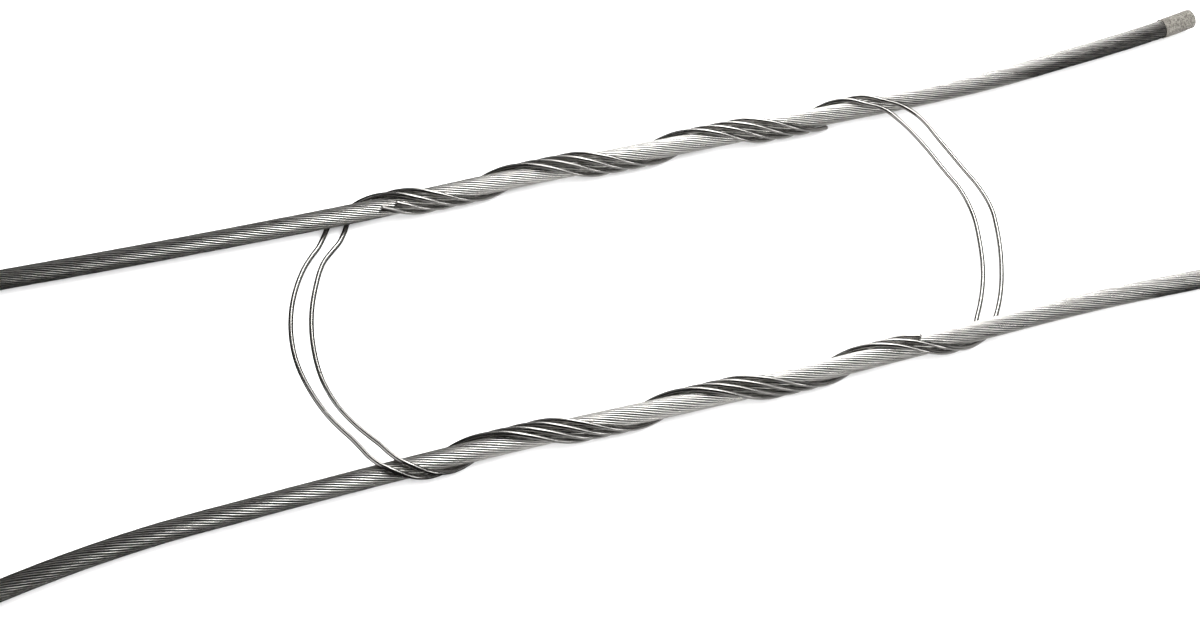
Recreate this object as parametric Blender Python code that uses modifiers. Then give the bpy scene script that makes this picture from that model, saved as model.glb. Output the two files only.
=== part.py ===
"""Two laid steel strands held side by side by four preformed tie rods.

Each strand is a 61-wire strand: a king wire under layers of 6, 12, 18 and 24 wires.
Every tie rod is one bent rod. One leg is wound round the back strand, the rod then
bows out past the end of the gap, and its other leg is wound round the front strand.
The two left rods bow out to the left and the two right rods to the right.

Lengths are in metres, angles in degrees. +X runs along the strands, +Y points from the
front strand to the back one, +Z is up, and the object lies on the plane Z = 0.
Angles round a strand start at its +Y side and pass its top at 90.
"""

import math

import bpy
import numpy as np
from mathutils import Vector

# Strand section.
STRAND_DIAMETER = 0.0127
WIRES_ACROSS = 9
LAYER_GAP = 0.0003
# Tie rods and how they lie on a strand.
ROD_DIAMETER = 0.0031
ROD_GAP = 0.0003
POINTS_PER_TURN = 12
# The strands lie this far apart, centre to centre, midway along the wraps.
STRAND_SPACING = 0.1895
MIDDLE_Y = 0.0
# Cut ends of the strands.
BACK_LEFT_END = -0.464
BACK_RIGHT_END = 0.443
FRONT_LEFT_END = -0.464
FRONT_RIGHT_END = 0.465
STATION_STEP = 0.045
# Tape wound round each cut end.
TAPE_LENGTH = 0.0255
TAPE_THICKNESS = 0.0005
TAPE_GAP = 0.0003

# Sideways bow of each strand off its own straight line, as (x, bow) along it.
BACK_BOW = [
    (-0.495, 0.0075),
    (-0.417, 0.0060),
    (-0.335, 0.0032),
    (-0.245, 0.0010),
    (-0.165, 0.0000),
    (-0.075, 0.0010),
    (0.025, 0.0005),
    (0.125, -0.0002),
    (0.225, -0.0010),
    (0.285, 0.0008),
    (0.325, 0.0042),
    (0.366, 0.0078),
    (0.408, 0.0124),
    (0.447, 0.0183),
    (0.525, 0.0320),
]
FRONT_BOW = [
    (-0.535, -0.0300),
    (-0.447, -0.0185),
    (-0.415, -0.0128),
    (-0.387, -0.0086),
    (-0.343, -0.0042),
    (-0.285, -0.0020),
    (-0.195, 0.0000),
    (-0.105, 0.0004),
    (-0.015, -0.0014),
    (0.060, -0.0018),
    (0.128, -0.0010),
    (0.198, 0.0002),
    (0.270, 0.0010),
    (0.325, -0.0006),
    (0.385, -0.0034),
    (0.505, -0.0100),
]

# Wraps. On each strand the four rods lie side by side, the two right rods first.
BACK_PITCH = 0.119
BACK_FIRST_CREST = -0.0518
BACK_ROD_STEP = 0.0128
FRONT_PITCH = 0.124
FRONT_FIRST_CREST = -0.1238
FRONT_ROD_STEP = 0.0114
# Where a bow comes away from a strand: below it, or over it on the side that it comes from.
UNDER = 270
OVER_FROM_BACK = 78
OVER_FROM_FRONT = 105
# A bow draws the first turn of its wrap in along the strand, and the effect dies away.
DRAW_ANGLE = 110
LEFT_BACK_DRAW = 0.0124
LEFT_FRONT_DRAW = 0.023
RIGHT_BACK_DRAW = 0.0125
RIGHT_FRONT_DRAW = 0.0067
# The bow climbs from the floor to the strand that it passes over by this power of its length.
CLIMB_POWER = 1.6
BOW_POINT_STEP = 0.009

# Bows of the rods: (how far it bulges along X from the chord between its two contacts, share
# of the way from the back strand to the front one).
LEFT_OUTER_BOW = [
    (-0.0067, 0.06),
    (-0.0193, 0.14),
    (-0.0306, 0.26),
    (-0.0363, 0.39),
    (-0.0367, 0.52),
    (-0.0323, 0.64),
    (-0.0235, 0.77),
    (-0.0132, 0.87),
]
LEFT_INNER_BOW = [
    (-0.0053, 0.055),
    (-0.0212, 0.15),
    (-0.0292, 0.25),
    (-0.0347, 0.36),
    (-0.0370, 0.49),
    (-0.0356, 0.61),
    (-0.0294, 0.73),
    (-0.0199, 0.83),
    (-0.0100, 0.91),
]
RIGHT_INNER_BOW = [
    (0.0116, 0.05),
    (0.0196, 0.115),
    (0.0277, 0.22),
    (0.0346, 0.35),
    (0.0385, 0.42),
    (0.0397, 0.53),
    (0.0353, 0.65),
    (0.0277, 0.77),
    (0.0176, 0.87),
    (0.0091, 0.935),
]
RIGHT_OUTER_BOW = [
    (0.0110, 0.048),
    (0.0196, 0.10),
    (0.0282, 0.23),
    (0.0353, 0.355),
    (0.0396, 0.43),
    (0.0416, 0.53),
    (0.0386, 0.62),
    (0.0305, 0.755),
    (0.0200, 0.87),
    (0.0109, 0.94),
]

# Where each leg's cut end lies, as an angle counted from the wrap's middle turn.
RIGHT_INNER_BACK_START = -234
RIGHT_OUTER_BACK_START = -243
LEFT_OUTER_BACK_END = 590
LEFT_INNER_BACK_END = 592
RIGHT_INNER_FRONT_START = -60
RIGHT_OUTER_FRONT_START = -75
LEFT_OUTER_FRONT_END = 795
LEFT_INNER_FRONT_END = 720

# Sizes that follow.
WIRE_DIAMETER = STRAND_DIAMETER / WIRES_ACROSS
STRAND_SIDES = 12
ROD_CIRCLE = (STRAND_DIAMETER / 2 + ROD_GAP + ROD_DIAMETER / 2) / math.cos(math.pi / POINTS_PER_TURN)
AXIS_HEIGHT = ROD_CIRCLE + ROD_DIAMETER / 2

BACK = {
    "y": MIDDLE_Y + STRAND_SPACING / 2,
    "bow": BACK_BOW,
    "pitch": BACK_PITCH,
    "first_crest": BACK_FIRST_CREST,
    "rod_step": BACK_ROD_STEP,
    "ends": (BACK_LEFT_END, BACK_RIGHT_END),
}
FRONT = {
    "y": MIDDLE_Y - STRAND_SPACING / 2,
    "bow": FRONT_BOW,
    "pitch": FRONT_PITCH,
    "first_crest": FRONT_FIRST_CREST,
    "rod_step": FRONT_ROD_STEP,
    "ends": (FRONT_LEFT_END, FRONT_RIGHT_END),
}


def clear_scene():
    for obj in list(bpy.data.objects):
        bpy.data.objects.remove(obj, do_unlink=True)


def make_material(name, colour, roughness, metallic):
    material = bpy.data.materials.new(name)
    material.use_nodes = True
    shader = material.node_tree.nodes["Principled BSDF"]
    shader.inputs["Base Color"].default_value = (*colour, 1.0)
    shader.inputs["Roughness"].default_value = roughness
    shader.inputs["Metallic"].default_value = metallic
    return material


def smooth_through(knots, values, at):
    """Cubic Hermite values at the given places, with slopes read from the neighbouring knots."""
    knots = np.asarray(knots, dtype=float)
    values = np.asarray(values, dtype=float).reshape(len(knots), -1)
    at = np.atleast_1d(np.asarray(at, dtype=float))
    slopes = np.gradient(values, knots, axis=0)
    span = np.clip(np.searchsorted(knots, at, side="right") - 1, 0, len(knots) - 2)
    width = (knots[span + 1] - knots[span])[:, None]
    t = (at - knots[span])[:, None] / width
    start, end = values[span], values[span + 1]
    start_slope, end_slope = slopes[span] * width, slopes[span + 1] * width
    return (
        (2 * t**3 - 3 * t**2 + 1) * start
        + (t**3 - 2 * t**2 + t) * start_slope
        + (3 * t**2 - 2 * t**3) * end
        + (t**3 - t**2) * end_slope
    )


def strand_y(strand, x):
    """The strand's centre line, as y over x."""
    places = [place for place, bow in strand["bow"]]
    bows = [bow for place, bow in strand["bow"]]
    return strand["y"] + smooth_through(places, bows, x)[:, 0]


def strand_path(strand):
    """Points along the centre line, from cut end to cut end."""
    left, right = strand["ends"]
    count = max(4, math.ceil((right - left) / STATION_STEP) + 1)
    x = np.linspace(left, right, count)
    return np.column_stack([x, strand_y(strand, x), np.full(count, AXIS_HEIGHT)])


def rod_place(strand, rod_index, angle, draw=0.0, contact=0.0):
    """Points on a right-hand helix round a strand, at the given angles.

    The helix moves on by one pitch a turn. The bow's draw adds to that near the contact
    angle, and fades with the angle away from it.
    """
    angle = np.atleast_1d(np.asarray(angle, dtype=float))
    crest = strand["first_crest"] + strand["rod_step"] * rod_index
    x = crest + strand["pitch"] * (angle - 90) / 360
    x = x + draw * np.exp(-np.abs(angle - contact) / DRAW_ANGLE)
    slope = (strand_y(strand, x + ROD_DIAMETER) - strand_y(strand, x)) / ROD_DIAMETER
    out = ROD_CIRCLE * np.cos(np.radians(angle))
    up = ROD_CIRCLE * np.sin(np.radians(angle))
    length = np.sqrt(1 + slope**2)
    return np.column_stack([
        x - out * slope / length,
        strand_y(strand, x) + out / length,
        AXIS_HEIGHT + up,
    ])


def leg_angles(start, end):
    """Angles from start to end, at most one even step of a turn apart."""
    count = math.ceil(abs(end - start) / (360 / POINTS_PER_TURN)) + 1
    return np.linspace(start, end, count)


def bow_points(start, end, low_start, plan):
    """The bow's own points, between the two places where it leaves its strands.

    plan holds (bulge along X off the chord from start to end, share of the way from the
    back strand's centre to the front one's). The height runs from start to end by the climb
    power of the length covered from the low end.
    """
    bulge, over = np.array(plan).T
    chord_x = start[0] + over * (end[0] - start[0])
    across_y = BACK["y"] + over * (FRONT["y"] - BACK["y"])
    flat = np.vstack([start[:2], np.column_stack([chord_x + bulge, across_y]), end[:2]])
    covered = np.concatenate([[0.0], np.cumsum(np.linalg.norm(np.diff(flat, axis=0), axis=1))])
    share = covered / covered[-1]
    if low_start:
        height = start[2] + (end[2] - start[2]) * share**CLIMB_POWER
    else:
        height = end[2] + (start[2] - end[2]) * (1 - share) ** CLIMB_POWER
    return np.column_stack([flat, height])[1:-1]


def tie_rod_path(back_leg, bow, front_leg, low_start):
    """Points along a whole rod: back leg in to the bow, the bow, and the front leg away.

    Both legs are listed from the back leg's cut end to the front leg's cut end.
    """
    route = bow_points(back_leg[-1], front_leg[0], low_start, bow)
    steer = np.vstack([back_leg[-2:], route, front_leg[:2]])
    knots = np.concatenate([[0.0], np.cumsum(np.linalg.norm(np.diff(steer, axis=0), axis=1))])
    count = math.ceil((knots[-2] - knots[1]) / BOW_POINT_STEP) + 1
    smooth = smooth_through(knots, steer, np.linspace(knots[1], knots[-2], count))
    return np.vstack([back_leg, smooth[1:-1], front_leg])


def left_rod_path(rod_index, bow, back_end, front_end):
    """A left rod: its bow passes under the back strand and over the front one."""
    back_contact = UNDER - 720
    front_contact = OVER_FROM_BACK - 360
    back_leg = rod_place(
        BACK, rod_index, leg_angles(back_end, back_contact), LEFT_BACK_DRAW, back_contact
    )
    front_leg = rod_place(
        FRONT, rod_index, leg_angles(front_contact, front_end), LEFT_FRONT_DRAW, front_contact
    )
    return tie_rod_path(back_leg, bow, front_leg, low_start=True)


def right_rod_path(rod_index, bow, back_start, front_start):
    """A right rod: its bow passes over the back strand and under the front one."""
    back_contact = OVER_FROM_FRONT + 720
    front_contact = UNDER + 720
    back_leg = rod_place(
        BACK, rod_index, leg_angles(back_start, back_contact), -RIGHT_BACK_DRAW, back_contact
    )
    front_leg = rod_place(
        FRONT, rod_index, leg_angles(front_contact, front_start), -RIGHT_FRONT_DRAW, front_contact
    )
    return tie_rod_path(back_leg, bow, front_leg, low_start=False)


def add_tube(name, points, radius, material, collection, sides=8, capped=True):
    """A tube along a POLY spline; an open one is left without caps."""
    curve = bpy.data.curves.new(name, "CURVE")
    curve.dimensions = "3D"
    curve.bevel_depth = radius
    curve.bevel_resolution = (sides - 4) // 2
    curve.use_fill_caps = capped
    spline = curve.splines.new("POLY")
    spline.points.add(len(points) - 1)
    for place, point in zip(spline.points, points):
        place.co = (*point, 1.0)
    spline.use_smooth = True
    obj = bpy.data.objects.new(name, curve)
    obj.data.materials.append(material)
    collection.objects.link(obj)
    return obj


def add_sleeve(name, points, outer, inner, material, collection, sides=STRAND_SIDES):
    """A tube with a wall, open at both ends: a skin given its wall inwards by Solidify."""
    guide = add_tube(name, points, outer, material, collection, sides, capped=False)
    bpy.context.view_layer.update()
    evaluated = guide.evaluated_get(bpy.context.evaluated_depsgraph_get())
    mesh = bpy.data.meshes.new_from_object(evaluated)
    bpy.data.objects.remove(guide, do_unlink=True)
    mesh.name = name
    obj = bpy.data.objects.new(name, mesh)
    collection.objects.link(obj)
    wall = obj.modifiers.new("wall", "SOLIDIFY")
    wall.thickness = outer - inner
    wall.offset = -1
    wall.use_even_offset = True
    mesh.shade_smooth()
    return obj


def layer_radius(layer):
    """Outer radius of a strand's layer; layer 0 is the king wire."""
    return (2 * layer + 1) * WIRE_DIAMETER / 2


def add_strand(side, strand, materials, collection):
    """King wire, three inner layers and the outer wires, each its own node."""
    path = strand_path(strand)
    inner_steel, outer_steel = materials["inner_wire"], materials["strand_wire"]
    add_tube(f"{side}_strand_king_wire", path, layer_radius(0), inner_steel, collection)
    layers = [(1, 8), (2, 8), (3, STRAND_SIDES), (4, STRAND_SIDES)]
    for layer, sides in layers:
        last = layer == len(layers)
        name = f"{side}_strand_{'outer_' if last else ''}wires_{6 * layer}"
        bore = (layer_radius(layer - 1) + LAYER_GAP) / math.cos(math.pi / sides)
        steel = outer_steel if last else inner_steel
        add_sleeve(name, path, layer_radius(layer), bore, steel, collection, sides)
    return path


def add_end_tapes(side, path, tape, collection):
    """A sleeve of tape over each cut end, flush with the end."""
    bore = (STRAND_DIAMETER / 2 + TAPE_GAP) / math.cos(math.pi / STRAND_SIDES)
    for end, tip, inner_point in (("left", path[0], path[1]), ("right", path[-1], path[-2])):
        inward = Vector(inner_point - tip).normalized()
        stretch = [np.array(Vector(tip) + inward * TAPE_LENGTH * share) for share in (0, 0.5, 1)]
        name = f"{side}_strand_{end}_end_tape"
        add_sleeve(name, stretch, bore + TAPE_THICKNESS, bore, tape, collection)


def add_tie_rods(material, collection):
    """Four rods. On both strands they lie in the order right inner, right outer, left outer,
    left inner."""
    paths = {
        "right_tie_inner_rod": right_rod_path(
            0, RIGHT_INNER_BOW, RIGHT_INNER_BACK_START, RIGHT_INNER_FRONT_START
        ),
        "right_tie_outer_rod": right_rod_path(
            1, RIGHT_OUTER_BOW, RIGHT_OUTER_BACK_START, RIGHT_OUTER_FRONT_START
        ),
        "left_tie_outer_rod": left_rod_path(
            2, LEFT_OUTER_BOW, LEFT_OUTER_BACK_END, LEFT_OUTER_FRONT_END
        ),
        "left_tie_inner_rod": left_rod_path(
            3, LEFT_INNER_BOW, LEFT_INNER_BACK_END, LEFT_INNER_FRONT_END
        ),
    }
    for name, path in paths.items():
        add_tube(name, path, ROD_DIAMETER / 2, material, collection)


def main():
    clear_scene()
    collection = bpy.data.collections.new("wire_rope_sling")
    bpy.context.scene.collection.children.link(collection)
    materials = {
        "strand_wire": make_material("strand_wire", (0.52, 0.51, 0.49), 0.38, 1.0),
        "inner_wire": make_material("inner_wire", (0.42, 0.41, 0.40), 0.45, 1.0),
        "tie_rod": make_material("tie_rod", (0.62, 0.61, 0.59), 0.22, 1.0),
        "end_tape": make_material("end_tape", (0.47, 0.44, 0.39), 0.75, 0.0),
    }
    for side, strand in (("back", BACK), ("front", FRONT)):
        path = add_strand(side, strand, materials, collection)
        add_end_tapes(side, path, materials["end_tape"], collection)
    add_tie_rods(materials["tie_rod"], collection)


if __name__ == "__main__":
    main()
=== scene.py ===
"""Wire rope sling: two laid steel strands, held side by side by four preformed tie rods.

The file is laid out as a Blender add-on and is run as a script. Each operator makes one
group of like pieces. Every new piece is a surface worked out with numpy: bars that follow
a centre line, and sleeves that follow a strand.

Lengths are in metres and angles in degrees, unless a name says otherwise. +X runs along
the strands, +Y points from the front strand to the back one and +Z is up. Angles round a
strand start at its +Y side and pass its top at 90.
"""

import math

import bpy
import numpy as np
from bpy.props import FloatProperty, FloatVectorProperty, IntProperty, PointerProperty
from mathutils import Matrix, Vector


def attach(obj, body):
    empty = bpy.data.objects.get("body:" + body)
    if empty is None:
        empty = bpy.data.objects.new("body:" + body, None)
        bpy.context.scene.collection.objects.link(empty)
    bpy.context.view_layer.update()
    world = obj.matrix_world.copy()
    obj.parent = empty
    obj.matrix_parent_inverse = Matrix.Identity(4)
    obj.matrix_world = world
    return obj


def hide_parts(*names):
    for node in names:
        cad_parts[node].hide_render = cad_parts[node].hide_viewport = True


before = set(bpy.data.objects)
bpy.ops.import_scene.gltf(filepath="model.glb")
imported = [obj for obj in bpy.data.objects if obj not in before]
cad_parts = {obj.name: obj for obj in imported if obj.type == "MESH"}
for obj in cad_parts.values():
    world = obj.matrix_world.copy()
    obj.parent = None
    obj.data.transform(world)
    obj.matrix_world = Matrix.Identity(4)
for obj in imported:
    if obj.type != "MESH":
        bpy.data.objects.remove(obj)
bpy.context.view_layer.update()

bl_info = {
    "name": "Wire rope sling",
    "version": (1, 0, 0),
    "blender": (4, 5, 0),
    "location": "3D View > Sidebar > Sling",
    "description": "Builds two laid strands tied side by side by preformed rods",
    "category": "Object",
}

# Lay-out of the strands and the wraps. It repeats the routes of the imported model.
STRAND_SPACING = 0.1895
AXIS_HEIGHT = 0.01004
BACK = {
    "y": STRAND_SPACING / 2,
    "ends": (-0.464, 0.443),
    "bow": [
        (-0.495, 0.0075),
        (-0.417, 0.0060),
        (-0.335, 0.0032),
        (-0.245, 0.0010),
        (-0.165, 0.0000),
        (-0.075, 0.0010),
        (0.025, 0.0005),
        (0.125, -0.0002),
        (0.225, -0.0010),
        (0.285, 0.0008),
        (0.325, 0.0042),
        (0.366, 0.0078),
        (0.408, 0.0124),
        (0.447, 0.0183),
        (0.525, 0.0320),
    ],
    "pitch": 0.119,
    "first_crest": -0.0518,
    "rod_step": 0.0128,
}
FRONT = {
    "y": -STRAND_SPACING / 2,
    "ends": (-0.464, 0.465),
    "bow": [
        (-0.535, -0.0300),
        (-0.447, -0.0185),
        (-0.415, -0.0128),
        (-0.387, -0.0086),
        (-0.343, -0.0042),
        (-0.285, -0.0020),
        (-0.195, 0.0000),
        (-0.105, 0.0004),
        (-0.015, -0.0014),
        (0.060, -0.0018),
        (0.128, -0.0010),
        (0.198, 0.0002),
        (0.270, 0.0010),
        (0.325, -0.0006),
        (0.385, -0.0034),
        (0.505, -0.0100),
    ],
    "pitch": 0.124,
    "first_crest": -0.1238,
    "rod_step": 0.0114,
}
STRANDS = {"back": BACK, "front": FRONT}

# Where a bow comes away from a strand, and how it draws the first turn in along it.
UNDER = 270
OVER_FROM_BACK = 78
OVER_FROM_FRONT = 105
DRAW_ANGLE = 110
LEFT_DRAWS = (0.0124, 0.023)
RIGHT_DRAWS = (-0.0125, -0.0067)
CLIMB_POWER = 1.6
LEG_STEP = 30
BOW_STEP = 0.009

# Each rod: its place in the row of four, its legs' cut ends as angles, its side, and its
# bow as (bulge along X off the chord between its contacts, share of the way from the back
# strand to the front one).
RODS = {
    "right_tie_inner_rod": {
        "place": 0,
        "cut_ends": (-234, -60),
        "side": "right",
        "bow": [
            (0.0116, 0.05),
            (0.0196, 0.115),
            (0.0277, 0.22),
            (0.0346, 0.35),
            (0.0385, 0.42),
            (0.0397, 0.53),
            (0.0353, 0.65),
            (0.0277, 0.77),
            (0.0176, 0.87),
            (0.0091, 0.935),
        ],
    },
    "right_tie_outer_rod": {
        "place": 1,
        "cut_ends": (-243, -75),
        "side": "right",
        "bow": [
            (0.0110, 0.048),
            (0.0196, 0.10),
            (0.0282, 0.23),
            (0.0353, 0.355),
            (0.0396, 0.43),
            (0.0416, 0.53),
            (0.0386, 0.62),
            (0.0305, 0.755),
            (0.0200, 0.87),
            (0.0109, 0.94),
        ],
    },
    "left_tie_outer_rod": {
        "place": 2,
        "cut_ends": (590, 795),
        "side": "left",
        "bow": [
            (-0.0067, 0.06),
            (-0.0193, 0.14),
            (-0.0306, 0.26),
            (-0.0363, 0.39),
            (-0.0367, 0.52),
            (-0.0323, 0.64),
            (-0.0235, 0.77),
            (-0.0132, 0.87),
        ],
    },
    "left_tie_inner_rod": {
        "place": 3,
        "cut_ends": (592, 720),
        "side": "left",
        "bow": [
            (-0.0053, 0.055),
            (-0.0212, 0.15),
            (-0.0292, 0.25),
            (-0.0347, 0.36),
            (-0.0370, 0.49),
            (-0.0356, 0.61),
            (-0.0294, 0.73),
            (-0.0199, 0.83),
            (-0.0100, 0.91),
        ],
    },
}

# How a wire strays along the strand: the lengths of its two waves, the share of the second,
# and the height and length of its rise and fall.
WANDER_WAVES = (0.083, 0.037)
SECOND_WANDER = 0.8
WIRE_RISE = 0.00003
RISE_WAVE = 0.061

# Faces round a bar and strips on the bake map, for each kind of bar.
OUTER_WIRE_DETAIL = (8, 6)
INNER_WIRE_DETAIL = (6, 3)
ROD_STRIPS = 12

# How the tape's outside departs from a plain round.
WIRE_RELIEF = 0.00004
CRUMPLE = 0.00003
LAP_START = 250.0

# The bake map's name, and the margins at a strip's ends and along its sides.
BAKE_MAP = "OFBake"
MAP_END = 0.01
MAP_TIP = 0.002
MAP_SIDE = 0.04
MAP_LENGTH = 0.98
MAP_WIDTH = 0.92

# Numbers a multiple of this apart, without their whole parts, never bunch up.
GOLDEN_SHARE = 0.618034


# ------------------------------------------------------------------ settings


class StrandSettings(bpy.types.PropertyGroup):
    diameter: FloatProperty(
        name="Strand diameter", description="Across the outer wires", default=0.0127, unit="LENGTH"
    )
    layers: IntProperty(
        name="Layers", description="Layers of wires over the king wire", default=4
    )
    lay: FloatProperty(
        name="Lay length", description="Length of one turn of the outer wires", default=0.128,
        unit="LENGTH",
    )
    wire_fill: FloatProperty(
        name="Wire fill", description="Share of its room that a wire fills", default=0.975,
        subtype="FACTOR",
    )
    wander: FloatProperty(
        name="Wander", description="How far a wire strays round the strand", default=0.45
    )
    station: FloatProperty(
        name="Station", description="Spacing of the rings along a wire", default=0.003,
        unit="LENGTH",
    )
    set_back: FloatProperty(
        name="Set-back", description="How far the wires end inside the tape", default=0.0006,
        unit="LENGTH",
    )


class RodSettings(bpy.types.PropertyGroup):
    diameter: FloatProperty(
        name="Rod diameter", description="Thickness of a tie rod", default=0.0031, unit="LENGTH"
    )
    circle: FloatProperty(
        name="Wrap circle", description="Radius of a rod's centre line round the strand",
        default=0.00822, unit="LENGTH",
    )
    step: FloatProperty(
        name="Ring spacing", description="Spacing of the rings along a rod", default=0.0012,
        unit="LENGTH",
    )
    sides: IntProperty(name="Sides", description="Faces round a rod", default=18)
    edge: FloatProperty(
        name="End rounding", description="Rounding of a rod's cut end", default=0.0012,
        unit="LENGTH",
    )


class TapeSettings(bpy.types.PropertyGroup):
    length: FloatProperty(
        name="Tape length", description="Length of strand that the tape covers", default=0.0255,
        unit="LENGTH",
    )
    bore: FloatProperty(
        name="Bore", description="Radius inside the tape", default=0.00642, unit="LENGTH"
    )
    thickness: FloatProperty(
        name="Build-up", description="Thickness of all the turns of tape", default=0.00038,
        unit="LENGTH",
    )
    lip: FloatProperty(
        name="Lip", description="How far the tape folds in over the cut end", default=0.0022,
        unit="LENGTH",
    )
    lap: FloatProperty(
        name="Lap step", description="Step where the last turn ends", default=0.00014,
        unit="LENGTH",
    )


class FinishSettings(bpy.types.PropertyGroup):
    wire: FloatVectorProperty(
        name="Wire", description="Drawn steel of the outer wires", default=(0.66, 0.645, 0.615),
        subtype="COLOR",
    )
    # Painted shade between the wires, mixed with grime: the colour that each wire darkens to
    # towards its neighbours.
    groove_shade_and_grime: FloatVectorProperty(
        name="Groove", description="Grime between the wires", default=(0.10, 0.096, 0.09),
        subtype="COLOR",
    )
    inner_wire: FloatVectorProperty(
        name="Inner wire", description="Dull steel inside the strand", default=(0.36, 0.35, 0.34),
        subtype="COLOR",
    )
    rod: FloatVectorProperty(
        name="Rod", description="Bright steel of the tie rods", default=(0.42, 0.41, 0.392),
        subtype="COLOR",
    )
    tape: FloatVectorProperty(
        name="Tape", description="Cloth tape", default=(0.20, 0.188, 0.165), subtype="COLOR"
    )
    tape_dark: FloatVectorProperty(
        name="Tape dirt", description="Dirt in the tape's grain", default=(0.045, 0.041, 0.035),
        subtype="COLOR",
    )


class StageSettings(bpy.types.PropertyGroup):
    floor_size: FloatProperty(
        name="Floor size", description="Width of the level floor", default=8.0, unit="LENGTH"
    )
    floor_bend: FloatProperty(
        name="Floor bend", description="Radius of the bend from the floor up to the wall",
        default=1.5, unit="LENGTH",
    )
    floor: FloatVectorProperty(
        name="Floor", description="Pale floor", default=(0.9, 0.9, 0.9), subtype="COLOR"
    )
    surround: FloatVectorProperty(
        name="Surround", description="What metal mirrors beside the lights",
        default=(0.015, 0.015, 0.015), subtype="COLOR",
    )
    aim: FloatVectorProperty(
        name="Aim", description="Point that the camera looks at",
        default=(-0.0461, -0.0191, 0.010), subtype="XYZ",
    )
    azimuth: FloatProperty(name="Azimuth", description="Camera's turn round Z", default=-24.496)
    elevation: FloatProperty(
        name="Elevation", description="Camera's height above the horizon", default=55.863
    )
    roll: FloatProperty(name="Roll", description="Camera's tilt", default=7.873)
    distance: FloatProperty(
        name="Distance", description="Camera to aim", default=1.2543, unit="LENGTH"
    )
    lens: FloatProperty(name="Lens", description="Focal length in millimetres", default=60.0)


SETTINGS = {
    "sling_strand": StrandSettings,
    "sling_rod": RodSettings,
    "sling_tape": TapeSettings,
    "sling_finish": FinishSettings,
    "sling_stage": StageSettings,
}


# ------------------------------------------------------------------ curves


def unit(vectors):
    """Vectors divided by their own lengths."""
    return vectors / np.linalg.norm(vectors, axis=-1, keepdims=True)


def covered(points):
    """Distance along a row of points, from 0 at the first."""
    return np.concatenate([[0.0], np.cumsum(np.linalg.norm(np.diff(points, axis=0), axis=1))])


def smooth_through(knots, values, at):
    """Cubic Hermite values: on each span the two end values and the two end slopes, weighted
    by the four cubic blending curves, with slopes read from the neighbouring knots."""
    knots = np.asarray(knots, dtype=float)
    values = np.asarray(values, dtype=float).reshape(len(knots), -1)
    at = np.atleast_1d(np.asarray(at, dtype=float))
    slopes = np.gradient(values, knots, axis=0)
    span = np.clip(np.searchsorted(knots, at, side="right") - 1, 0, len(knots) - 2)
    width = (knots[span + 1] - knots[span])[:, None]
    t = (at - knots[span])[:, None] / width
    return (
        (2 * t**3 - 3 * t**2 + 1) * values[span]
        + (t**3 - 2 * t**2 + t) * slopes[span] * width
        + (3 * t**2 - 2 * t**3) * values[span + 1]
        + (t**3 - t**2) * slopes[span + 1] * width
    )


def strand_y(strand, x):
    """A strand's centre line, as y over x: its straight line plus its sideways bow."""
    places, bows = zip(*strand["bow"])
    return strand["y"] + smooth_through(places, bows, x)[:, 0]


def round_strand(strand, x, angle, radius):
    """Points at an angle and radius round a strand's centre line, and the directions out.

    The section at x is square to the centre line. Its sideways axis is the line's normal in
    the floor plane, its other axis is up, and a point lies at radius times the cosine along
    the first and the sine along the second.
    """
    shape = np.shape(x)
    flat = np.ravel(x)
    y = strand_y(strand, flat).reshape(shape)
    ahead = strand_y(strand, flat + 1e-4).reshape(shape)
    slope = (ahead - y) / 1e-4
    size = np.sqrt(1 + slope**2)
    cosine, sine = np.cos(np.radians(angle)), np.sin(np.radians(angle))
    out = np.stack([-slope / size * cosine, cosine / size, sine], axis=-1)
    centre = np.stack([x, y, np.full(shape, AXIS_HEIGHT)], axis=-1)
    return centre + np.asarray(radius)[..., None] * out, out


def leg_points(strand, place, start, end, draw, contact, circle):
    """A rod's leg: a right-hand helix that moves on by one pitch a turn, drawn along the
    strand by an amount that fades with the angle from the contact."""
    count = math.ceil(abs(end - start) / LEG_STEP) + 1
    angle = np.linspace(start, end, count)
    x = strand["first_crest"] + strand["rod_step"] * place + strand["pitch"] * (angle - 90) / 360
    x = x + draw * np.exp(-np.abs(angle - contact) / DRAW_ANGLE)
    return round_strand(strand, x, angle, np.full(count, circle))[0]


def bow_points(start, end, low_start, plan):
    """A bow's own points. In plan they bulge off the chord as given, and the height goes from
    the low end to the high end by the climb power of the share of length covered."""
    bulge, over = np.array(plan).T
    chord_x = start[0] + over * (end[0] - start[0])
    across_y = BACK["y"] + over * (FRONT["y"] - BACK["y"])
    flat = np.vstack([start[:2], np.column_stack([chord_x + bulge, across_y]), end[:2]])
    share = covered(flat) / covered(flat)[-1]
    if low_start:
        height = start[2] + (end[2] - start[2]) * share**CLIMB_POWER
    else:
        height = end[2] + (start[2] - end[2]) * (1 - share) ** CLIMB_POWER
    return np.column_stack([flat, height])[1:-1]


def rod_route(rod, circle):
    """A whole rod's steering points: one leg, the bow read from a smooth curve through its
    own points and the legs' last ones, and the other leg."""
    left = rod["side"] == "left"
    if left:
        contacts, draws = (UNDER - 720, OVER_FROM_BACK - 360), LEFT_DRAWS
    else:
        contacts, draws = (OVER_FROM_FRONT + 720, UNDER + 720), RIGHT_DRAWS
    back_cut, front_cut = rod["cut_ends"]
    place = rod["place"]
    back_leg = leg_points(BACK, place, back_cut, contacts[0], draws[0], contacts[0], circle)
    front_leg = leg_points(FRONT, place, contacts[1], front_cut, draws[1], contacts[1], circle)
    route = bow_points(back_leg[-1], front_leg[0], left, rod["bow"])
    steer = np.vstack([back_leg[-2:], route, front_leg[:2]])
    knots = covered(steer)
    count = math.ceil((knots[-2] - knots[1]) / BOW_STEP) + 1
    bow = smooth_through(knots, steer, np.linspace(knots[1], knots[-2], count))
    return np.vstack([back_leg, bow[1:-1], front_leg])


# ------------------------------------------------------------------ meshes


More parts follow.
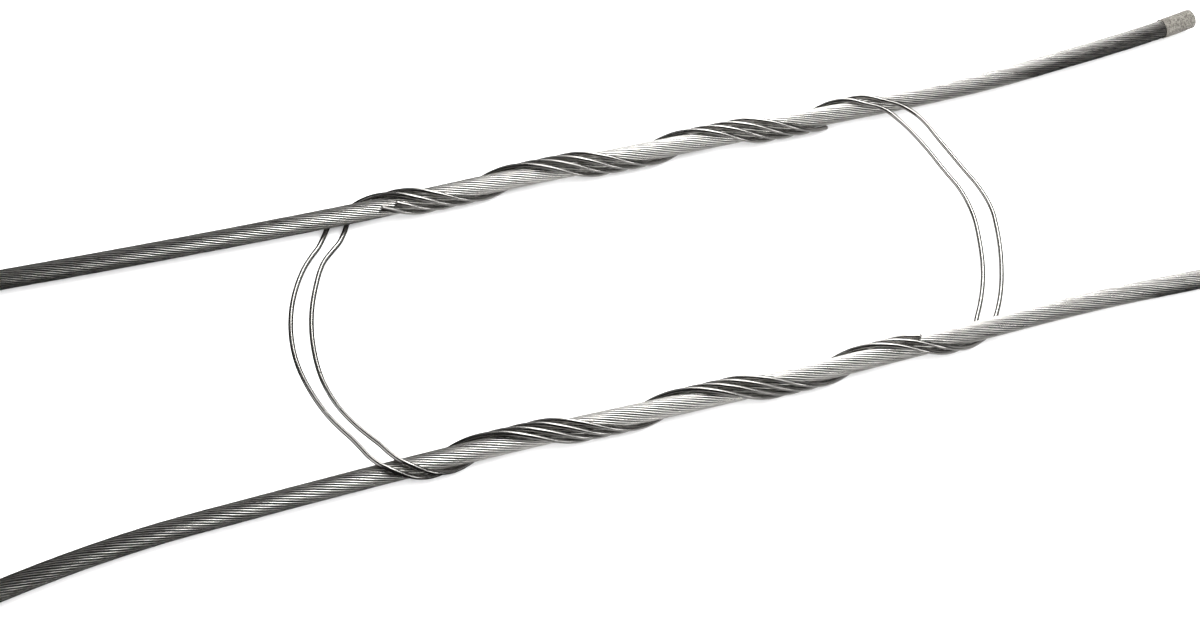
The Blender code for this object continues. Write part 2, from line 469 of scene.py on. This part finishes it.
def rounded_radius(distance, radius, edge):
    """A bar's radius near its cut end: a quarter circle of the edge's size, then full."""
    depth = np.clip(edge - distance, 0.0, edge)
    return radius - edge + np.sqrt(edge**2 - depth**2)


def stations(length, step, edge):
    """Places along a bar: close together over the rounding at both ends, then even."""
    near = edge * (1 - np.cos(np.radians([0, 25, 50, 70, 90])))
    count = math.ceil((length - 2 * edge) / step) + 1
    middle = np.linspace(edge, length - edge, count)
    return np.concatenate([near[:-1], middle, length - near[:-1][::-1]])


def bars_mesh(name, centres, outward, radius, sides, along, rows):
    """Closed round bars as one mesh. Arrays are bars by stations (by 3).

    A ring lies square to its bar. Its points are the centre plus the radius times the cosine
    of the turn along the outward direction and the sine along the sideways one, which is the
    bar's direction crossed with the outward one. A fan to a middle point closes each end.
    Attributes: along in metres, turn from -1 to 1 with 0 outward, and bar, a number from 0 to
    1 for each bar. The bake map lays each bar out in rows, one above the other.
    """
    bars, count = centres.shape[:2]
    forward = unit(np.gradient(centres, axis=1))
    out = unit(outward - np.sum(outward * forward, axis=-1, keepdims=True) * forward)
    side = np.cross(forward, out)
    turn = 2 * np.pi * np.arange(sides) / sides
    ring = (
        np.cos(turn)[:, None] * out[:, :, None, :] + np.sin(turn)[:, None] * side[:, :, None, :]
    )
    points = centres[:, :, None, :] + radius[:, :, None, None] * ring
    poles = centres[:, [0, -1]]
    points = np.concatenate([points.reshape(bars, -1, 3), poles], axis=1)
    each = count * sides + 2
    bar, station, step = np.meshgrid(
        np.arange(bars), np.arange(count - 1), np.arange(sides), indexing="ij"
    )
    bar, station, step = bar.ravel(), station.ravel(), step.ravel()
    first = bar * each + station * sides
    after = (step + 1) % sides
    quads = np.stack(
        [first + step, first + sides + step, first + sides + after, first + after], axis=1
    )
    # The bake map: each bar has rows strips, and each strip holds a stretch of stations.
    strip = station * rows // (count - 1)
    strip_start = -(-strip * (count - 1) // rows)
    strip_end = -(-(strip + 1) * (count - 1) // rows)
    stretch = (strip_end - strip_start)[:, None]
    passed = np.stack([station, station + 1], axis=1) - strip_start[:, None]
    u = MAP_END + MAP_LENGTH * passed / stretch
    turned = np.stack([step, step + 1], axis=1) / sides
    v = ((bar * rows + strip + MAP_SIDE)[:, None] + MAP_WIDTH * turned) / (bars * rows)
    quad_map = np.stack(
        [u[:, 0], v[:, 0], u[:, 1], v[:, 0], u[:, 1], v[:, 1], u[:, 0], v[:, 1]], axis=1
    )
    bar, step = np.meshgrid(np.arange(bars), np.arange(sides), indexing="ij")
    bar, step = bar.ravel(), step.ravel()
    after = (step + 1) % sides
    start, last, pole = bar * each, bar * each + (count - 1) * sides, (bar + 1) * each - 2
    fans = np.concatenate([
        np.stack([pole, start + step, start + after], axis=1),
        np.stack([pole + 1, last + after, last + step], axis=1),
    ])
    low = (bar * rows + MAP_SIDE + MAP_WIDTH * step / sides) / (bars * rows)
    high = low + MAP_WIDTH / sides / (bars * rows)
    middle = (low + high) / 2
    near, far = np.full(len(bar), MAP_END), np.full(len(bar), MAP_TIP)
    fan_map = np.concatenate([
        np.stack([far, middle, near, low, near, high], axis=1),
        np.stack([1 - far, middle, 1 - near, high, 1 - near, low], axis=1),
    ])
    mesh = bpy.data.meshes.new(name)
    bake_map = np.concatenate([quad_map.ravel(), fan_map.ravel()])
    fill_mesh(mesh, points.reshape(-1, 3), quads, fans, bake_map)
    ring_turns = np.tile((turn / np.pi + 1) % 2 - 1, (bars, count))
    add_attributes(
        mesh,
        along=np.concatenate([np.repeat(along, sides, axis=1), along[:, [0, -1]]], axis=1),
        turn=np.concatenate([ring_turns, np.zeros((bars, 2))], axis=1),
        bar=np.repeat((np.arange(bars) * GOLDEN_SHARE % 1)[:, None], each, axis=1),
    )
    return mesh


def fill_mesh(mesh, points, quads, triangles, bake_map):
    """Puts points, four- and three-sided faces and the bake map's places into a mesh."""
    corners = np.concatenate([quads.ravel(), triangles.ravel()])
    sizes = np.concatenate([np.full(len(quads), 4), np.full(len(triangles), 3)])
    starts = np.concatenate([[0], np.cumsum(sizes)[:-1]])
    mesh.vertices.add(len(points))
    mesh.loops.add(len(corners))
    mesh.polygons.add(len(sizes))
    mesh.vertices.foreach_set("co", points.astype(np.float32).ravel())
    mesh.loops.foreach_set("vertex_index", corners.astype(np.int32))
    mesh.polygons.foreach_set("loop_start", starts.astype(np.int32))
    mesh.update(calc_edges=True)
    layer = mesh.uv_layers.new(name=BAKE_MAP)
    layer.uv.foreach_set("vector", bake_map.astype(np.float32))
    mesh.shade_smooth()


def add_attributes(mesh, **values):
    """Gives every point of a mesh its own numbers, by name."""
    for label, numbers in values.items():
        numbers = numbers.astype(np.float32).ravel()
        mesh.attributes.new(label, "FLOAT", "POINT").data.foreach_set("value", numbers)


def add_piece(mesh, material, replaced):
    """A finished piece: it rides on the model's one body and stands for one CAD node."""
    obj = bpy.data.objects.new(mesh.name, mesh)
    mesh.materials.append(material)
    bpy.context.scene.collection.objects.link(obj)
    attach(obj, "root")
    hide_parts(replaced)
    return obj


# ------------------------------------------------------------------ strands


def wire_diameter(settings):
    """The strand's diameter, shared by the king wire and two wires for each layer."""
    return settings.diameter / (2 * settings.layers + 1)


def strand_reach(strand, settings):
    """Where the wires start and end along x."""
    left, right = strand["ends"]
    return left + settings.set_back, right - settings.set_back


def layer_mesh(name, strand, settings, layer, seed):
    """One layer of a strand's wires.

    The layer has 6 wires for each layer number, or 1 for the king wire, on a circle of the
    layer number times the wire diameter. A wire's angle grows by one turn a lay length, to the
    right in the outer layer and the other way in the next one in. It also wanders slowly by
    two sine waves of its own, and the circle rises and falls by a third one.
    """
    bars = max(1, 6 * layer)
    outer = layer == settings.layers
    left, right = strand_reach(strand, settings)
    radius = wire_diameter(settings) * settings.wire_fill / 2
    edge = radius * 0.5
    step = settings.station if outer else settings.station * 2
    places = stations(right - left, step, edge)
    x = np.tile(left + places, (bars, 1))
    hand = 1 if (settings.layers - layer) % 2 == 0 else -1
    chance = np.random.default_rng(seed)
    phases = chance.uniform(0, 2 * np.pi, (3, bars, 1))
    waves = [np.sin(2 * np.pi * x / wave + phases[n]) for n, wave in enumerate(WANDER_WAVES)]
    wander = settings.wander * (waves[0] + SECOND_WANDER * waves[1])
    lay = settings.lay * max(layer, 1) / settings.layers
    angle = hand * 360 * x / lay + 360 * np.arange(bars)[:, None] / bars + wander
    rise = WIRE_RISE * np.sin(2 * np.pi * x / RISE_WAVE + phases[2])
    circle = layer * wire_diameter(settings) + (rise if layer else 0 * rise)
    centres, outward = round_strand(strand, x, angle, circle)
    distance = np.minimum(places, places[-1] - places)
    radii = np.tile(rounded_radius(distance, radius, edge), (bars, 1))
    along = np.tile(places, (bars, 1))
    sides, rows = OUTER_WIRE_DETAIL if outer else INNER_WIRE_DETAIL
    return bars_mesh(name, centres, outward, radii, sides, along, rows)


class SLING_OT_strands(bpy.types.Operator):
    """Lay both strands wire by wire"""

    bl_idname = "sling.strands"
    bl_label = "Strands"

    def execute(self, context):
        settings = context.scene.sling_strand
        finish = context.scene.sling_finish
        outer_steel = wire_material("laid_wire", finish.wire, finish.groove_shade_and_grime)
        inner_steel = wire_material("hidden_wire", finish.inner_wire, finish.groove_shade_and_grime)
        for seed, (side, strand) in enumerate(STRANDS.items()):
            pieces = []
            for layer in range(settings.layers + 1):
                label, steel, slot = f"wires_{6 * layer}", inner_steel, "inner_wire"
                if layer == 0:
                    label = "king_wire"
                if layer == settings.layers:
                    label, steel, slot = f"outer_wires_{6 * layer}", outer_steel, "strand_wire"
                cad_node = f"{side}_strand_{label}"
                mesh = layer_mesh(f"laid_{cad_node}", strand, settings, layer, 10 * seed + layer)
                pieces.append(add_piece(mesh, steel, cad_node))
            self.declare(strand, settings, pieces)
        return {"FINISHED"}

    def declare(self, strand, settings, pieces):
        """Works out points along the strand's centre line, one a strand diameter apart between the
        wires' ends, and does nothing more with them.
        """
        left, right = strand_reach(strand, settings)
        count = math.ceil((right - left) / settings.diameter)
        x = np.linspace(left, right, count)
        line = np.column_stack([x, strand_y(strand, x), np.full(count, AXIS_HEIGHT)])


# ------------------------------------------------------------------ tie rods


class SLING_OT_tie_rods(bpy.types.Operator):
    """Wind the four tie rods"""

    bl_idname = "sling.tie_rods"
    bl_label = "Tie rods"

    def execute(self, context):
        settings = context.scene.sling_rod
        steel = rod_material("bright_rod", context.scene.sling_finish.rod)
        for cad_node, rod in RODS.items():
            route = rod_route(rod, settings.circle)
            knots = covered(route)
            places = stations(knots[-1], settings.step, settings.edge)
            centres = smooth_through(knots, route, places)[None]
            distance = np.minimum(places, places[-1] - places)
            radii = rounded_radius(distance, settings.diameter / 2, settings.edge)[None]
            up = np.broadcast_to([0.0, 0.0, 1.0], centres.shape)
            mesh = bars_mesh(
                f"wound_{cad_node}", centres, up, radii, settings.sides, places[None], ROD_STRIPS
            )
            add_piece(mesh, steel, cad_node)
        return {"FINISHED"}


# ------------------------------------------------------------------ end tapes


def tape_profile(settings):
    """The tape's closed section, as (distance from the cut end, radius): the bore, the free
    edge, the outside, a rounded corner, and a lip over the cut end."""
    bore = settings.bore
    outside = bore + settings.thickness
    corner = settings.thickness * 2.2
    turn = np.radians(np.linspace(0, 90, 7))
    fold_in, lip_back = 0.0006, 0.00055  # where the bore starts, and the lip's inner face
    soften, nose = 0.0002, 0.0003  # rounding of the lip's rim, and how far in its tip lies
    bore_run = [(distance, bore) for distance in np.linspace(fold_in, settings.length, 24)]
    edge = [
        (settings.length + settings.thickness * 0.25, bore + settings.thickness * share)
        for share in (0.25, 0.5, 0.75)
    ]
    outer_run = [(distance, outside) for distance in np.linspace(settings.length, corner, 24)]
    corner_run = [
        (corner * (1 - math.sin(angle)), outside - corner * (1 - math.cos(angle)))
        for angle in turn[1:]
    ]
    rim = bore - settings.lip
    lip_run = [(0.0, outside - corner - fold_in), (0.0, rim + soften), (nose, rim)]
    inner_run = [(lip_back, rim + soften), (lip_back, bore - 2 * soften)]
    return np.array(bore_run + edge + outer_run + corner_run + lip_run + inner_run)


def tape_mesh(name, strand, end, settings, strand_settings, sides=144):
    """Cloth tape wound over a cut end.

    The closed section goes once round the strand. Outside the bore its radius gains the relief
    of the wires below, one wave for each outer wire, a lap step that fades in over the turn
    and drops where the last turn ends, and two slanting waves of crumple.
    """
    profile = tape_profile(settings)
    left, right = strand["ends"]
    x = left + profile[:, 0] if end == "left" else right - profile[:, 0]
    angle = np.linspace(0, 360, sides, endpoint=False)
    x_grid, angle_grid = np.meshgrid(x, angle, indexing="ij")
    outer_wires = 6 * strand_settings.layers
    past_wire = angle_grid - 360 * x_grid / strand_settings.lay
    relief = WIRE_RELIEF * np.cos(np.radians(outer_wires * past_wire))
    lap = settings.lap * (((angle_grid - LAP_START) % 360) / 360)
    share = np.clip((profile[:, 1] - settings.bore) / settings.thickness, 0, 1)[:, None]
    crumple = CRUMPLE * (
        np.sin(np.radians(5 * angle_grid) + 900 * x_grid)
        + np.sin(np.radians(11 * angle_grid) - 1500 * x_grid)
    )
    radius = profile[:, 1][:, None] + share * (relief + lap + crumple)
    points = round_strand(strand, x_grid, angle_grid, radius)[0]
    rings = len(profile)
    ring, step = np.meshgrid(np.arange(rings), np.arange(sides), indexing="ij")
    ring, step = ring.ravel(), step.ravel()
    next_ring, next_step = (ring + 1) % rings, (step + 1) % sides
    quads = np.stack([
        ring * sides + step,
        next_ring * sides + step,
        next_ring * sides + next_step,
        ring * sides + next_step,
    ], axis=1)
    u = np.stack([ring, ring + 1], axis=1) / rings
    v = np.stack([step, step + 1], axis=1) / sides
    places = np.stack([
        u[:, 0], v[:, 0], u[:, 1], v[:, 0], u[:, 1], v[:, 1], u[:, 0], v[:, 1]
    ], axis=1).reshape(-1, 4, 2)
    if end == "right":
        quads, places = quads[:, ::-1], places[:, ::-1]
    mesh = bpy.data.meshes.new(name)
    fill_mesh(mesh, points.reshape(-1, 3), quads, np.zeros((0, 3), int), places.ravel())
    add_attributes(
        mesh, along=np.repeat(profile[:, 0], sides), around=np.tile(angle / 360, rings)
    )
    return mesh


class SLING_OT_end_tapes(bpy.types.Operator):
    """Wind tape over the four cut ends"""

    bl_idname = "sling.end_tapes"
    bl_label = "End tapes"

    def execute(self, context):
        scene = context.scene
        finish = scene.sling_finish
        cloth = tape_material("cloth_tape", finish.tape, finish.tape_dark)
        for side, strand in STRANDS.items():
            for end in ("left", "right"):
                cad_node = f"{side}_strand_{end}_end_tape"
                mesh = tape_mesh(
                    f"wound_{cad_node}", strand, end, scene.sling_tape, scene.sling_strand
                )
                add_piece(mesh, cloth, cad_node)
        return {"FINISHED"}


# ------------------------------------------------------------------ materials


class Signal:
    """A shader socket that takes part in sums: an operator adds a Math node for it. One with
    no socket of its own only starts other nodes."""

    def __init__(self, tree, socket=None):
        self.tree = tree
        self.socket = socket

    def node(self, kind, settings=None, inputs=None, output=0):
        """Adds a node, sets it up, fills its sockets with values or links, and returns an
        output."""
        made = self.tree.nodes.new(kind)
        for key, value in (settings or {}).items():
            setattr(made, key, value)
        for key, value in (inputs or {}).items():
            if isinstance(value, Signal):
                self.tree.links.new(value.socket, made.inputs[key])
            else:
                made.inputs[key].default_value = value
        return Signal(self.tree, made.outputs[output])

    def math(self, operation, first, second):
        """Adds a Math node."""
        return self.node("ShaderNodeMath", {"operation": operation}, {0: first, 1: second})

    def __add__(self, other):
        return self.math("ADD", self, other)

    def __sub__(self, other):
        return self.math("SUBTRACT", self, other)

    def __rsub__(self, other):
        return self.math("SUBTRACT", other, self)

    def __mul__(self, other):
        return self.math("MULTIPLY", self, other)

    def __abs__(self):
        return self.math("ABSOLUTE", self, 0.0)

    __radd__ = __add__
    __rmul__ = __mul__


def new_material(name):
    """A material, the start of its nodes, and its shader."""
    material = bpy.data.materials.new(name)
    material.use_nodes = True
    return material, Signal(material.node_tree), material.node_tree.nodes["Principled BSDF"]


def feed(shader, **signals):
    """Links signals to a shader's sockets, whose names have _ for a space."""
    for name, signal in signals.items():
        signal.tree.links.new(signal.socket, shader.inputs[name.replace("_", " ")])


def attribute(start, name):
    """A number that each point of the mesh carries."""
    return start.node("ShaderNodeAttribute", {"attribute_name": name}, output="Fac")


def object_place(start):
    """The place on the object."""
    return start.node("ShaderNodeTexCoord", output="Object")


def place(start, x, y, z):
    """A place made of three numbers."""
    return start.node("ShaderNodeCombineXYZ", inputs={"X": x, "Y": y, "Z": z})


def noise(where, scale, detail=2.0, rough=0.5):
    """Cloudy noise at a place."""
    inputs = {"Vector": where, "Scale": scale, "Detail": detail, "Roughness": rough}
    return where.node("ShaderNodeTexNoise", inputs=inputs)


def ramp(signal, low, high):
    """A smooth step from 0 to 1 between two levels of a signal."""
    inputs = {"Value": signal, "From Min": low, "From Max": high}
    return signal.node("ShaderNodeMapRange", {"interpolation_type": "SMOOTHSTEP"}, inputs)


def bump(height, strength, distance):
    """A normal tilted by a height signal."""
    inputs = {"Height": height, "Strength": strength, "Distance": distance}
    return height.node("ShaderNodeBump", inputs=inputs)


def blend_colours(share, first, second):
    """The first colour gives way to the second by a share."""
    settings = {"data_type": "RGBA", "blend_type": "MIX"}
    return share.node("ShaderNodeMix", settings, {0: share, 6: first, 7: second}, output=2)


def toned(colour, tone):
    """A colour made lighter or darker by a tone."""
    grey = tone.node("ShaderNodeCombineColor", inputs={0: tone, 1: tone, 2: tone})
    settings = {"data_type": "RGBA", "blend_type": "MULTIPLY"}
    return tone.node("ShaderNodeMix", settings, {0: 1.0, 6: colour, 7: grey}, output=2)


def four(colour):
    """A colour with its fourth number, for a socket."""
    return (*colour, 1.0)


def wire_material(name, steel, groove_shade_and_grime):
    """Drawn steel wire: long drawing streaks, each wire a little lighter or darker, scuffs here
    and there, and painted shade towards the neighbouring wires, mixed with grime streaks."""
    material, start, shader = new_material(name)
    bar, along, turn = (attribute(start, label) for label in ("bar", "along", "turn"))
    streak = noise(place(start, along * 45.0, bar * 91.0, turn * 3.0), 1.0, 4.0, 0.6)
    fine = noise(place(start, along * 220.0, bar * 57.0, turn * 14.0), 1.0, 2.0, 0.5)
    patch = noise(object_place(start), 38.0, 3.0, 0.55)
    scuff = ramp(patch, 0.60, 0.70) * ramp(fine, 0.45, 0.62)
    # Painted shade: darker towards each wire's sides, where it meets its neighbours.
    painted_groove_shade = ramp(abs(turn), 0.17, 0.40)
    # This mask is mostly the painted shade between the wires, mixed with grime streaks and
    # patches.
    dirt = ramp(streak + 0.85 * painted_groove_shade + 0.2 * patch, 0.68, 1.20)
    clean = toned(four(steel), 0.80 + 0.26 * bar + 0.30 * (streak - 0.5))
    worn = blend_colours(0.55 * scuff, clean, (0.80, 0.79, 0.77, 1.0))
    feed(
        shader,
        Base_Color=blend_colours(0.85 * dirt, worn, four(groove_shade_and_grime)),
        Roughness=0.28 + 0.20 * (streak - 0.5) + 0.12 * dirt + 0.10 * scuff,
        Normal=bump(fine + 0.6 * scuff, 0.25, 0.00006),
    )
    shader.inputs["Metallic"].default_value = 1.0
    return material


def rod_material(name, steel):
    """Bright drawn rod: smooth, with faint lengthwise streaks, rubbed marks and dull patches."""
    material, start, shader = new_material(name)
    along, turn = attribute(start, "along"), attribute(start, "turn")
    streak = noise(place(start, along * 28.0, 3.0, turn * 4.0), 1.0, 4.0, 0.6)
    fine = noise(place(start, along * 160.0, 9.0, turn * 24.0), 1.0, 2.0, 0.5)
    patch = noise(object_place(start), 26.0, 3.0, 0.6)
    dull = ramp(patch + 0.4 * (streak - 0.5), 0.52, 0.72)
    feed(
        shader,
        Base_Color=toned(four(steel), 0.90 + 0.35 * (streak - 0.5) - 0.20 * dull),
        Roughness=0.20 + 0.12 * (streak - 0.4) + 0.13 * dull,
        Normal=bump(fine + streak, 0.15, 0.00005),
    )
    shader.inputs["Metallic"].default_value = 1.0
    return material


def tape_material(name, cloth, dirt):
    """Cloth tape: a grain of threads, blotches, and dark dirt in the low places."""
    material, start, shader = new_material(name)
    where = object_place(start)
    along, around = attribute(start, "along"), attribute(start, "around")
    thread = noise(place(start, along * 900.0, around * 30.0, 0.0), 1.0, 2.0, 0.6)
    grain = noise(where, 1300.0, 3.0, 0.7)
    speckle = ramp(noise(where, 800.0, 2.0, 0.6), 0.51, 0.58)
    blotch = ramp(noise(where, 160.0, 2.0, 0.5), 0.4, 0.7)
    mottle = 0.5 * thread + 0.5 * grain
    light = blend_colours(ramp(mottle, 0.3, 0.75), four(dirt), four(cloth))
    paler = blend_colours(0.30 * blotch, light, (0.28, 0.27, 0.24, 1.0))
    feed(
        shader,
        Base_Color=blend_colours(0.75 * speckle, paler, four(dirt)),
        Normal=bump(mottle - 0.4 * speckle, 0.6, 0.00018),
    )
    shader.inputs["Roughness"].default_value = 0.86
    return material


# ------------------------------------------------------------------ stage


# Soft lights: where each is, where it faces, its size, its power in watts, and whether
# metal mirrors it.
LIGHTS = {
    "ceiling_wash": ((0.0, 0.0, 3.5), (0.0, 0.0, 0.0), (7.0, 7.0), 500.0, False),
    "overhead_strip": ((0.29, 0.47, 1.16), (0.29, 0.0, 0.0), (0.40, 1.10), 11.6, True),
    "right_overhead_strip": ((0.59, 0.09, 1.25), (0.59, 0.0, 0.0), (0.25, 1.30), 5.6, True),
    "front_strip": ((0.57, -0.77, 0.99), (0.57, 0.0, 0.0), (0.28, 0.53), 1.6, True),
    "low_front_strip": ((0.66, -1.19, 0.41), (0.66, 0.0, 0.05), (0.30, 0.72), 3.6, True),
    "back_strip": ((0.36, 1.20, 0.45), (0.36, 0.0, 0.0), (0.50, 0.80), 4.4, True),
    "left_back_strip": ((-0.42, 0.90, 0.87), (-0.42, 0.0, 0.0), (0.40, 1.00), 0.6, True),
    "table_card": ((0.08, -0.05, 0.001), (0.08, -0.05, 1.0), (0.46, 0.3), 0.26, True),
    "left_end_card": ((-2.0, 0.0, 0.7), (0.0, 0.0, 0.0), (1.4, 1.8), 12.0, True),
    "right_end_card": ((2.0, 0.0, 0.5), (0.0, 0.0, 0.0), (1.0, 1.8), 3.5, True),
}


def add_softbox(name, place_at, aim, size, watts, mirrored):
    """A rectangular soft light that faces a point."""
    light = bpy.data.lights.new(name, "AREA")
    light.shape = "RECTANGLE"
    light.size, light.size_y = size
    light.energy = watts
    obj = bpy.data.objects.new(name, light)
    back = (Vector(place_at) - Vector(aim)).normalized()
    across = (Vector((1, 0, 0)) - back * back.x).normalized()
    turned = Matrix((across, back.cross(across), back)).transposed().to_4x4()
    obj.matrix_world = Matrix.Translation(place_at) @ turned
    obj.visible_camera = False
    obj.visible_glossy = mirrored
    bpy.context.scene.collection.objects.link(obj)


def aim_camera(settings):
    """A camera at an azimuth, elevation and roll round the aim."""
    azimuth, elevation = math.radians(settings.azimuth), math.radians(settings.elevation)
    back = Vector((
        math.sin(azimuth) * math.cos(elevation),
        -math.cos(azimuth) * math.cos(elevation),
        math.sin(elevation),
    ))
    level = Vector((0, 0, 1)).cross(back).normalized()
    upright = back.cross(level)
    roll = math.radians(settings.roll)
    right = level * math.cos(roll) + upright * math.sin(roll)
    up = back.cross(right)
    camera = bpy.data.objects.new("camera", bpy.data.cameras.new("camera"))
    turned = Matrix((right, up, back)).transposed().to_4x4()
    stand = Vector(settings.aim) + back * settings.distance
    camera.matrix_world = Matrix.Translation(stand) @ turned
    camera.data.lens = settings.lens
    camera.data.clip_start = 0.05
    bpy.context.scene.collection.objects.link(camera)
    bpy.context.scene.camera = camera


def floor_mesh(flat, bend, wall=4.5, steps=96):
    """A round floor that curves up into a wall.

    The profile is level out to the flat radius, then a quarter circle of the bend's radius,
    then upright. It is turned round the Z axis, and one flat face closes the middle.
    """
    rise = np.radians(np.linspace(0, 90, 13))
    reach = np.append(flat + bend * np.sin(rise), flat + bend)
    height = np.append(bend * (1 - np.cos(rise)), wall)
    turn = 2 * np.pi * np.arange(steps) / steps
    points = np.stack([
        reach[:, None] * np.cos(turn),
        reach[:, None] * np.sin(turn),
        np.broadcast_to(height[:, None], (len(height), steps)),
    ], axis=-1)
    ring, step = np.meshgrid(np.arange(len(reach) - 1), np.arange(steps), indexing="ij")
    near, after = ring * steps, (step + 1) % steps
    far = near + steps
    quads = np.stack([near + step, far + step, far + after, near + after], axis=-1)
    faces = [list(range(steps)), *quads.reshape(-1, 4).tolist()]
    mesh = bpy.data.meshes.new("floor")
    mesh.from_pydata(points.reshape(-1, 3).tolist(), [], faces)
    return mesh


def soft_world(colour):
    """An even, almost dark surround, so that metal mirrors only the lights."""
    world = bpy.data.worlds.new("surround")
    world.use_nodes = True
    background = world.node_tree.nodes["Background"]
    background.inputs["Color"].default_value = four(colour)
    background.inputs["Strength"].default_value = 1.0
    bpy.context.scene.world = world


class SLING_OT_stage(bpy.types.Operator):
    """Set up the floor, the soft lights and the camera"""

    bl_idname = "sling.stage"
    bl_label = "Stage"

    def execute(self, context):
        settings = context.scene.sling_stage
        context.scene.view_settings.view_transform = "Standard"
        mesh = floor_mesh(settings.floor_size / 2, settings.floor_bend)
        material, _, shader = new_material("pale_floor")
        shader.inputs["Base Color"].default_value = four(settings.floor)
        shader.inputs["Roughness"].default_value = 0.9
        shader.inputs["Specular IOR Level"].default_value = 0.0
        mesh.materials.append(material)
        floor = bpy.data.objects.new("floor", mesh)
        floor.visible_glossy = False
        context.scene.collection.objects.link(floor)
        for name, (place_at, aim, size, watts, mirrored) in LIGHTS.items():
            add_softbox(name, place_at, aim, size, watts, mirrored)
        soft_world(settings.surround)
        aim_camera(settings)
        return {"FINISHED"}


class SLING_PT_sidebar(bpy.types.Panel):
    """Buttons for the pieces and the stage, and their sizes and colours"""

    bl_label = "Wire rope sling"
    bl_idname = "SLING_PT_sidebar"
    bl_space_type = "VIEW_3D"
    bl_region_type = "UI"
    bl_category = "Sling"

    def draw(self, context):
        for operator in OPERATORS:
            self.layout.operator(operator.bl_idname)
        for name, group in SETTINGS.items():
            box = self.layout.box()
            box.label(text=name.replace("sling_", "").capitalize())
            for prop in group.__annotations__:
                box.prop(getattr(context.scene, name), prop)


OPERATORS = (SLING_OT_stage, SLING_OT_strands, SLING_OT_tie_rods, SLING_OT_end_tapes)


def register():
    for group in (*SETTINGS.values(), *OPERATORS, SLING_PT_sidebar):
        bpy.utils.register_class(group)
    for name, group in SETTINGS.items():
        setattr(bpy.types.Scene, name, PointerProperty(type=group))


def unregister():
    for name in SETTINGS:
        delattr(bpy.types.Scene, name)
    for group in reversed((*SETTINGS.values(), *OPERATORS, SLING_PT_sidebar)):
        bpy.utils.unregister_class(group)


def main():
    register()
    bpy.ops.sling.stage()
    bpy.ops.sling.strands()
    bpy.ops.sling.tie_rods()
    bpy.ops.sling.end_tapes()


if __name__ == "__main__":
    main()
